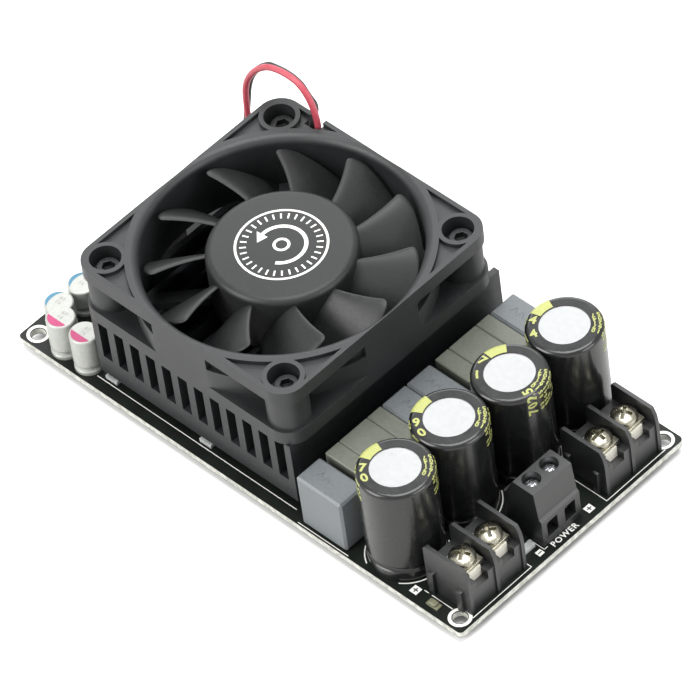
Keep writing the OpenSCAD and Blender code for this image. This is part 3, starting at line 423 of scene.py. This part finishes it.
def bladePoint(u, s, face):
    # u from root to tip, s from the leading to the trailing edge, face 1 above and -1 below
    radius = blade["root"] + (blade["tip"] - blade["root"]) * u
    fullness = max(1 - (2 * s - 1) ** blade["bluntness"], blade["thinnest"])
    half = face * blade["thick"] / 2 * math.sqrt(fullness)
    past = max((u - blade["cornerFrom"]) / (1 - blade["cornerFrom"]), 0)
    cut = blade["corner"] * past ** blade["cornerCurve"]
    along = cut + (1 - cut) * s
    turn = math.radians(blade["phase"] + blade["sweep"] * u - blade["span"] * along)
    angle = turn - half * blade["lean"] / radius
    top = blade["rootTop"] + (blade["tipTop"] - blade["rootTop"]) * u
    drop = (top - blade["bottom"]) * along ** blade["camber"]
    height = top - drop + half * math.sqrt(1 - blade["lean"] ** 2)
    return Vector((radius * math.cos(angle), radius * math.sin(angle), height)) * mm


bm = bmesh.new()
bmesh.ops.create_grid(bm, x_segments=blade["along"], y_segments=blade["across"], size=0.5)
upper = set(bm.verts)
bmesh.ops.extrude_face_region(bm, geom=bm.faces[:])
for v in bm.verts:
    u = 1 - (0.5 - v.co.x) ** blade["tipCrowd"]
    s = 0.5 - 0.5 * math.cos(math.pi * (v.co.y + 0.5))
    v.co = bladePoint(u, s, 1 if v in upper else -1)
others = blade["count"] - 1
bmesh.ops.spin(bm, geom=bm.verts[:] + bm.edges[:] + bm.faces[:], cent=(0, 0, 0), axis=(0, 0, 1),
               angle=2 * math.pi * others / blade["count"], steps=others, use_duplicate=True)
rim = [(hub["radius"] - hub["rim"] * (1 - math.sin(a)), hub["top"] - hub["rim"] * (1 - math.cos(a)))
       for a in (math.pi / 2 * k / hub["arc"] for k in range(hub["arc"] + 1))]
turned(bm, [(0, hub["top"])] + rim + [
    (hub["radius"], hub["bottom"]), (hub["inside"], hub["bottom"]), (hub["inside"], hub["ceiling"]),
    (hub["boss"], hub["ceiling"]), (hub["boss"], hub["bossFoot"]), (hub["bore"], hub["bossFoot"]),
    (hub["bore"], hub["ceiling"]), (0, hub["ceiling"])], hub["turns"])
bmesh.ops.translate(bm, vec=fanBase, verts=bm.verts)
impeller = addPiece("impeller_moulding", bm, rotorPlastic, "impeller", sharp=50)
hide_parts("fan_impeller")
print("impeller:", len(impeller.data.polygons), "faces")


# Prints: thin ink just above the surface that carries it

inkLift = 0.03
ringSteps = 48


def flatBand(bm, inner, outer, start=0, sweep=360, steps=ringSteps, at=(0, 0)):
    # an arc of a flat ring, angles in degrees
    turn = Matrix.Rotation(math.radians(start), 3, "Z")
    centre = Vector((*at, 0)) * mm
    ends = [bm.verts.new(centre + turn @ Vector((r * mm, 0, 0))) for r in (inner, outer)]
    edge = bm.edges.new(ends)
    bmesh.ops.spin(bm, geom=ends + [edge], cent=centre, axis=(0, 0, 1), angle=math.radians(sweep),
                   steps=steps)


def polar(radius, angle):
    return radius * math.cos(angle), radius * math.sin(angle)


def flatShape(bm, corners):
    bm.faces.new([bm.verts.new((x * mm, y * mm, 0)) for x, y in corners])


def flatLine(bm, path, width):
    # straight strokes along a path of points in mm
    for a, b in zip(path, path[1:]):
        a, b = Vector(a), Vector(b)
        along = (b - a).normalized() * width / 2
        out = Vector((-along.y, along.x))
        flatShape(bm, [a - along - out, b + along - out, b + along + out, a - along + out])


def outward(bm, centre):
    # every face looks away from the centre
    bm.normal_update()
    inward = [f for f in bm.faces if f.normal.dot(f.calc_center_median() - centre) < 0]
    bmesh.ops.reverse_faces(bm, faces=inward)


def layOn(name, bm, mat, place, body="base"):
    # a flat print about the origin, moved onto a level surface at place in metres
    bmesh.ops.translate(bm, vec=Vector(place) + Vector((0, 0, inkLift * mm)), verts=bm.verts)
    outward(bm, Vector((0, 0, -10)))
    addPiece(name, bm, mat, body, flip=False)


def letters(text, cuts=0, heavier=0.0, spread=1.0):
    # a word as a flat mesh of unit size: points and faces
    curve = bpy.data.curves.new("word", "FONT")
    curve.body = text
    curve.offset = heavier
    curve.space_character = spread
    curve.resolution_u = 3
    obj = bpy.data.objects.new("word", curve)
    scene.collection.objects.link(obj)
    shape = bpy.data.meshes.new_from_object(obj.evaluated_get(bpy.context.evaluated_depsgraph_get()))
    bm = bmesh.new()
    bm.from_mesh(shape)
    bmesh.ops.triangulate(bm, faces=bm.faces)
    if cuts:
        bmesh.ops.subdivide_edges(bm, edges=bm.edges, cuts=cuts, use_grid_fill=True)
    bm.verts.index_update()
    points = [v.co.copy() for v in bm.verts]
    faces = [[v.index for v in f.verts] for f in bm.faces]
    bm.free()
    bpy.data.objects.remove(obj)
    bpy.data.curves.remove(curve)
    bpy.data.meshes.remove(shape)
    return points, faces


def addWord(bm, word, place):
    made = [bm.verts.new(place(p.x, p.y)) for p in word[0]]
    for f in word[1]:
        bm.faces.new([made[i] for i in f])


def boxOf(name):
    return (Vector(corner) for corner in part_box(name))


# Mark on the hub: a ring, a dial of ticks and an arrow that shows the turn

hubMark = {"ring": (9.1, 9.6), "ringSteps": 96, "ticks": 32, "tick": (7.3, 8.3, 0.36), "arrow": (4.6, 5.4),
           "arrowFrom": -60, "arrowSweep": 245, "arrowSteps": 60, "head": (3.6, 6.4, 28), "eye": (1.2, 1.8)}
bm = bmesh.new()
flatBand(bm, *hubMark["ring"], steps=hubMark["ringSteps"])
flatBand(bm, *hubMark["eye"])
flatBand(bm, *hubMark["arrow"], hubMark["arrowFrom"], hubMark["arrowSweep"], hubMark["arrowSteps"])
tip = math.radians(hubMark["arrowFrom"] + hubMark["arrowSweep"])
inner, outer, reach = hubMark["head"]
middle = sum(hubMark["arrow"]) / 2
flatShape(bm, [polar(inner, tip), polar(outer, tip), polar(middle, tip + math.radians(reach))])
near, far, width = hubMark["tick"]
for k in range(hubMark["ticks"]):
    turn = 2 * math.pi * k / hubMark["ticks"]
    flatLine(bm, [polar(near, turn), polar(far, turn)], width)
layOn("hub_mark", bm, whiteInk, fanBase + Vector((0, 0, hub["top"] * mm)), "impeller")


# Prints on the reservoir sleeves, over the rim and down the side: a stripe, large and small figures

sleeve = {"edge": 1.0, "opening": 5.2, "foot": 4.5, "spreadFrom": 6.4, "stripe": 37, "stripeFrom": 0.15,
          "stripeEase": 1.6, "stripeGrid": (12, 64), "large": 2.9, "largeStep": 1.9, "small": 1.45,
          "smallStep": 1.1, "columns": (-19, -9.5, 0, 9.5, 19), "start": 0.1, "midHeight": 0.35,
          "heavier": 0.035}
sleevePrints = [
    {"stripe": -179, "large": ((-140, "1047"), (-116, "2510")), "block": 42},
    {"stripe": -170, "large": ((-129, "1049"), (-103, "2510")), "block": 38},
    {"stripe": 157, "large": ((-171, "1047"), (-136, "2511"), (-14, "7025")), "block": 22},
    {"stripe": 176, "large": ((-153, "1044"), (-120, "2514")), "block": 43},
]
blockRows = ("63 8510", "0504167", "70 6321", "5 22004", "63 1057")
figures = {d: letters(d, 1, sleeve["heavier"]) for d in "0123456789"}


def onSleeve(centre, outer, top, angle, across, along):
    # across the turn and along the path from the opening over the rim and down, in mm
    edge = sleeve["edge"]
    flat = outer - edge - sleeve["opening"]
    bend = edge * math.pi / 2
    if along < flat:
        r, z = sleeve["opening"] + along, top + inkLift
    elif along < flat + bend:
        t = (along - flat) / edge
        r = outer - edge + (edge + inkLift) * math.sin(t)
        z = top - edge + (edge + inkLift) * math.cos(t)
    else:
        r, z = outer + inkLift, top - edge - (along - flat - bend)
    x, y = polar(r, math.radians(angle) + across / max(r, sleeve["spreadFrom"]))
    return Vector((centre.x + x * mm, centre.y + y * mm, z * mm))


def addFigures(bm, text, size, step, spot):
    # figures that read towards the opening; the last one is nearest to it
    for k, figure in enumerate(reversed(text)):
        if figure == " ":
            continue
        base = sleeve["start"] + step * (k + 1)
        addWord(bm, figures[figure], lambda x, y: spot(-(y - sleeve["midHeight"]) * size, base - x * size))


for k, marks in enumerate(sleevePrints, 1):
    low, high = boxOf(f"reservoir_sleeve_{k}")
    centre, outer, top = (low + high) / 2, (high.x - low.x) / 2 / mm, high.z / mm
    bm = bmesh.new()
    columns, rows = sleeve["stripeGrid"]
    bmesh.ops.create_grid(bm, x_segments=columns, y_segments=rows, size=0.5)
    length = top - low.z / mm - sleeve["foot"]
    for v in bm.verts:
        v.co = onSleeve(centre, outer, top, marks["stripe"] + v.co.x * sleeve["stripe"], 0,
                        sleeve["stripeFrom"] + length * (v.co.y + 0.5) ** sleeve["stripeEase"])
    for angle, text in marks["large"]:
        addFigures(bm, text, sleeve["large"], sleeve["largeStep"],
                   lambda across, along: onSleeve(centre, outer, top, angle, across, along))
    for offset, text in zip(sleeve["columns"], blockRows):
        angle = marks["block"] + offset
        addFigures(bm, text, sleeve["small"], sleeve["smallStep"],
                   lambda across, along: onSleeve(centre, outer, top, angle, across, along))
    outward(bm, centre)
    addPiece(f"sleeve_print_{k}", bm, yellowInk, flip=False)
print("sleeve prints:", len(sleevePrints))


# Polymer cans: a pink segment on the tall ones, a blue crescent on the short ones, and small figures

polymerTop = {"tall": (1, 2), "radius": 2.72, "chord": 1.0, "steps": 24, "crescent": 0.85, "reach": 68,
              "figure": 1.1, "figureStep": 0.7, "figureFrom": -0.6, "rows": ((0.75, "47"), (-0.45, "16"))}
shares = [2 * j / polymerTop["steps"] - 1 for j in range(polymerTop["steps"] + 1)]
radius = polymerTop["radius"]
for k in range(1, 5):
    low, high = boxOf(f"polymer_capacitor_{k}")
    place = ((low.x + high.x) / 2, (low.y + high.y) / 2, high.z)
    if k in polymerTop["tall"]:
        half, facing, ink = math.acos(polymerTop["chord"] / radius), -math.pi / 2, pinkInk
        inside = []
    else:
        half, facing, ink = math.radians(polymerTop["reach"]), math.pi, blueInk
        inside = [polar(radius - polymerTop["crescent"] * (1 - t * t), facing - half * t)
                  for t in shares[1:-1]]
    bm = bmesh.new()
    flatShape(bm, [polar(radius, facing + half * t) for t in shares] + inside)
    layOn(f"polymer_segment_{k}", bm, ink, place)
    bm = bmesh.new()
    size = polymerTop["figure"]
    for y, text in polymerTop["rows"]:
        for j, figure in enumerate(text):
            left = polymerTop["figureStep"] * j + polymerTop["figureFrom"]
            addWord(bm, figures[figure], lambda px, py: Vector(((px + left) * size, py * size + y, 0)) * mm)
    layOn(f"polymer_figures_{k}", bm, paleInk, place)


# White print on the board: rings, outlines of the parts, signs and words

silk = {"line": 0.18, "ring": (1.75, 2.45), "holes": [(x, y) for x in (-59.5, 59.5) for y in (-29.5, 29.5)],
        "canRing": (8.35, 8.6), "canArcs": ((118, 124), (-58, 116)),
        "lines": [
            [(-41.7, -29.9), (14.9, -29.9)], [(-41.7, 31.9), (14.9, 31.9)],  # along the heatsink
            [(17.6, -32.1), (31.4, -32.1)],  # beside a film capacitor
            [(49.4, -28.9), (50.4, -28.9)], [(51.4, -28.9), (56.9, -28.9)], [(48.4, 28.9), (57, 28.9)],
            [(48.4, 10.75), (61.6, 10.75)], [(61.6, -27.9), (61.6, -11.4)], [(61.6, 11), (61.6, 27.9)],
            [(61.6, -11.2), (49.2, -11.2)],  # round the barrier terminals
            [(49.6, 5.4), (59.2, 5.4)], [(56.6, -6.3), (60.5, -6.3), (60.5, -5.4)],
            [(57.3, -7), (57.3, -6.3)],  # round the power terminal
            [(-55.6, 23.1), (-48.1, 23.1), (-48.1, 29.9), (-55.6, 29.9), (-55.6, 23.1)],  # fan header
            [(-60.9, -1.5), (-53.6, -1.5), (-53.6, 9.3)]],  # audio header
        "stroke": 0.26, "strokeShare": 0.5, "plus": [(47.9, -29.95, 0.95), (60.2, 7.1, 0.9)],
        "minus": [(60.4, -7.5, 0.72)], "word": ("POWER", (61.65, -4.6), 1.9), "heavier": 0.025,
        "spread": 1.16,
        "labels": [("FAN", (-58.6, 25.4), 1.7), ("INPUT", (-52.4, 7.4), 1.7)]}
bm, signs = bmesh.new(), bmesh.new()
for at in silk["holes"]:
    flatBand(bm, *silk["ring"], at=at)
for k in range(1, 5):
    low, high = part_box(f"reservoir_sleeve_{k}")
    middle = ((low[0] + high[0]) / 2 / mm, (low[1] + high[1]) / 2 / mm)
    for start, sweep in silk["canArcs"]:
        flatBand(bm, *silk["canRing"], start, sweep, at=middle)
for path in silk["lines"]:
    flatLine(bm, path, silk["line"])
for x, y, half in silk["plus"] + silk["minus"]:
    flatShape(bm, [(x - half, y - half), (x + half, y - half), (x + half, y + half), (x - half, y + half)])
    reach = silk["strokeShare"] * half
    flatLine(signs, [(x, y - reach), (x, y + reach)], silk["stroke"])
    if (x, y, half) in silk["plus"]:
        flatLine(signs, [(x - reach, y), (x + reach, y)], silk["stroke"])
text, (x, y), size = silk["word"]
addWord(bm, letters(text, heavier=silk["heavier"], spread=silk["spread"]),
        lambda px, py: Vector((x - py * size, y + px * size, 0)) * mm)
for text, (x, y), size in silk["labels"]:
    addWord(bm, letters(text), lambda px, py: Vector((x + py * size, y - px * size, 0)) * mm)
layOn("board_print", bm, whiteInk, (0, 0, board["top"] * mm))
layOn("board_signs", signs, darkInk, (0, 0, (board["top"] + inkLift) * mm))


# Rubbed marks on the film capacitors

rubbed = {"width": 0.14, "shift": -1.5, "strokes": [
    [(-1.7, -0.6), (-0.9, 0.8), (-0.4, -0.3)], [(0.3, -0.7), (0.7, 0.6)], [(1.1, 0.5), (1.7, -0.5)]]}
for k in range(1, 5):
    low, high = boxOf(f"film_capacitor_{k}")
    bm = bmesh.new()
    for path in rubbed["strokes"]:
        flatLine(bm, path, rubbed["width"])
    place = ((low.x + high.x) / 2 + rubbed["shift"] * mm, (low.y + high.y) / 2, high.z)
    layOn(f"film_marks_{k}", bm, rubbedInk, place)
print("prints on the board and the boxes")


# Plain rounding of the moulded, cut and turned parts, in mm

rounding = [
    ("circuit_board", boardMask, 0.08), ("heatsink", anodised, 0.18), ("fan_housing", fanPlastic, 0.22),
    ("power_terminal", terminalPlastic, 0.2), ("speaker_terminal_1", terminalPlastic, 0.2),
    ("speaker_terminal_2", terminalPlastic, 0.2), ("speaker_contacts", tinPlate, 0.12),
    ("audio_input_header", terminalPlastic, 0.2), ("fan_header", nylon, 0.2), ("power_led", ledLens, 0.08),
    ("chip_parts", ceramic, 0.06), ("amplifier_chip", epoxy, 0.06), ("thermal_pad", padGrey, 0.04),
    ("fan_screws", blackSteel, 0.1), ("heatsink_screws", zincSteel, 0.1),
]
rounding += [(f"film_capacitor_{k}", filmBox, 0.34) for k in range(1, 5)]
rounding += [(f"inductor_{k}_{part}_core", ferrite, 0.26)
             for k in (1, 2) for part in ("front", "middle", "back")]
rounding += [(f"speaker_{part}_{k}", warmNickel, 0.12) for part in ("washer", "screw") for k in range(1, 5)]
rounding += [(f"power_{part}_{k}", coolNickel, 0.1) for part in ("cage", "screw") for k in (1, 2)]
for name, mat, width in rounding:
    soften(name, mat, width)
print("rounded:", len(rounding), "parts")

dressed = [("solder_joints", solderTin), ("fan_bearing", bearingBrass), ("fan_stator", copper),
           ("fan_shaft", zincSteel), ("fan_magnet", magnetDark), ("inductor_coils", copper),
           ("power_contacts", coolNickel)]
for k in range(1, 5):
    dressed += [(f"reservoir_can_{k}", canBright), (f"reservoir_sleeve_{k}", sleeveFilm),
                (f"polymer_capacitor_{k}", canMatte)]
for name, mat in dressed:
    dress(name, mat)
print("dressed:", len(dressed), "parts")


# Floor: white to the camera, a little greyer for the light it sends back

floorData = {"side": 30.0, "gap": 0.02, "seen": "#fbfbfa", "bounce": "#e4e4e2", "rough": 0.9}
bm = bmesh.new()
bmesh.ops.create_grid(bm, x_segments=1, y_segments=1, size=floorData["side"] / 2)
bmesh.ops.translate(bm, vec=(0, 0, cadLow[2] - floorData["gap"] * mm), verts=bm.verts)
floorMesh = bpy.data.meshes.new("floor")
bm.to_mesh(floorMesh)
bm.free()
floor = bpy.data.objects.new("floor", floorMesh)
scene.collection.objects.link(floor)
floorMat = newFinish("floor_white", floorData["seen"], floorData["rough"], specular=0.0)
tree = floorMat.node_tree
rays = addNode(tree, "ShaderNodeLightPath")
tone = addNode(tree, "ShaderNodeMix", {"A": (*linear(floorData["bounce"]), 1),
                                      "B": (*linear(floorData["seen"]), 1)}, data_type="RGBA")
tree.links.new(rays.outputs["Is Camera Ray"], tone.inputs["Factor"])
tree.links.new(tone.outputs["Result"], tree.nodes["Principled BSDF"].inputs["Base Color"])
floorMesh.materials.append(floorMat)
